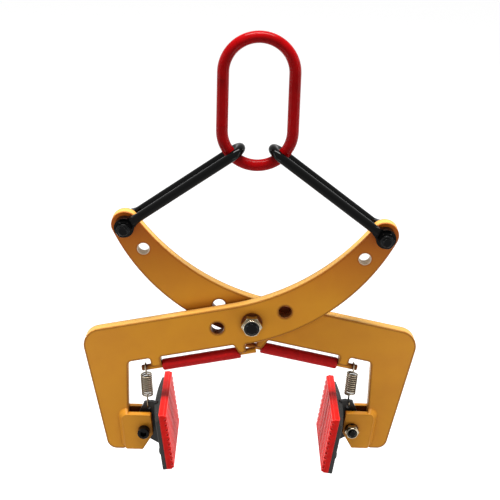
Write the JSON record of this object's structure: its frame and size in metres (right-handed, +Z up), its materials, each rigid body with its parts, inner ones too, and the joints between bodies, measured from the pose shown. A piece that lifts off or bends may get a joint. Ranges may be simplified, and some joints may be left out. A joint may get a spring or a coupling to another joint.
{
  "type": "kerb lifting clamp",
  "caption": "Scissor lifting clamp for kerbs and bricks: crossed arms on a centre bolt, hairpin links to an oblong master link, sprung rubber pads that grip as it lifts.",
  "frame": {"origin": "the hook's seat: the top of the master link's eye, on the clamp's centre line", "axes": "+Z up, +X to the viewer's right along the jaws, +Y away from the viewer along the pivot bolts"},
  "size_m": [0.4444, 0.13, 0.5798],
  "materials": {
    "red_paint": "satin",
    "yellow_paint": "satin",
    "black_steel": "satin",
    "black_paint": "matt",
    "zinc_steel": "zinc plated",
    "bronze": "turned",
    "black_nylon": "moulded",
    "red_rubber": "satin",
    "red_urethane": "moulded"
  },
  "bodies": {
    "master_link": {"master_link": "red_paint"},
    "left_link": {"left_link": "black_steel", "left_link_bolt": "black_steel", "left_link_nut": "black_steel", "left_link_nut_ring": "black_nylon", "left_link_bush": "bronze"},
    "right_link": {"right_link": "black_steel", "right_link_bolt": "black_steel", "right_link_nut": "black_steel", "right_link_nut_ring": "black_nylon", "right_link_bush": "bronze"},
    "back_arm": {"back_arm": "yellow_paint", "right_bumper_bar": "yellow_paint", "right_bumper_sleeve": "red_rubber", "right_outer_cheek": "yellow_paint", "right_inner_cheek": "yellow_paint", "right_cheek_welds": "yellow_paint", "right_spring": "zinc_steel", "right_pad_bolt": "black_steel", "right_pad_nut": "zinc_steel", "right_pad_nut_ring": "black_nylon", "right_pad_washer": "black_steel"},
    "front_arm": {"front_arm": "yellow_paint", "left_bumper_bar": "yellow_paint", "left_bumper_sleeve": "red_rubber", "left_outer_cheek": "yellow_paint", "left_inner_cheek": "yellow_paint", "left_cheek_welds": "yellow_paint", "left_spring": "zinc_steel", "left_pad_bolt": "black_steel", "left_pad_nut": "zinc_steel", "left_pad_nut_ring": "black_nylon", "left_pad_washer": "black_steel", "pivot_bolt": "black_steel", "pivot_nut": "zinc_steel", "pivot_nut_ring": "black_nylon", "pivot_washers": "zinc_steel", "pivot_bush": "bronze", "pivot_disc": "black_nylon"},
    "left_pad": {"left_pad_face": "red_urethane", "left_pad_backing": "black_paint", "left_pad_stiffeners": "black_paint", "left_pad_lug": "black_paint", "left_pad_bush": "bronze", "left_pad_screws": "black_steel"},
    "right_pad": {"right_pad_face": "red_urethane", "right_pad_backing": "black_paint", "right_pad_stiffeners": "black_paint", "right_pad_lug": "black_paint", "right_pad_bush": "bronze", "right_pad_screws": "black_steel"}
  },
  "joints": [
    {"name": "left_link_swing", "type": "hinge", "parent": "master_link", "child": "left_link", "pos_m": [0, 0, -0.111], "axis": [0, 1, 0], "range_deg": [-4.9, 11.6]},
    {"name": "back_arm_swing", "type": "hinge", "parent": "left_link", "child": "back_arm", "pos_m": [-0.1675, 0.0085, -0.2405], "axis": [0, 1, 0], "range_deg": [-23.6, 10]},
    {"name": "arm_pivot", "type": "hinge", "parent": "back_arm", "child": "front_arm", "pos_m": [0, 0, -0.367], "axis": [0, 1, 0], "range_deg": [-10.2, 24]},
    {"name": "right_link_swing", "type": "hinge", "parent": "front_arm", "child": "right_link", "pos_m": [0.1675, -0.0085, -0.2405], "axis": [0, 1, 0], "range_deg": [-23.6, 10]},
    {"name": "left_pad_tilt", "type": "hinge", "parent": "front_arm", "child": "left_pad", "pos_m": [-0.14199, -0.0085, -0.528], "axis": [0, 1, 0], "range_deg": [-4, 16], "stiffness_Nm_per_rad": 2, "springref_deg": -4.3, "deforming": ["left_spring"]},
    {"name": "right_pad_tilt", "type": "hinge", "parent": "back_arm", "child": "right_pad", "pos_m": [0.14199, 0.0085, -0.528], "axis": [0, -1, 0], "range_deg": [-4, 16], "stiffness_Nm_per_rad": 2, "springref_deg": -4.3, "deforming": ["right_spring"]}
  ],
  "couplings": [
    {"joint": "back_arm_swing", "follows": "left_link_swing", "ratio": -2.032},
    {"joint": "arm_pivot", "follows": "left_link_swing", "ratio": 2.064},
    {"joint": "right_link_swing", "follows": "left_link_swing", "ratio": -2.032}
  ]
}
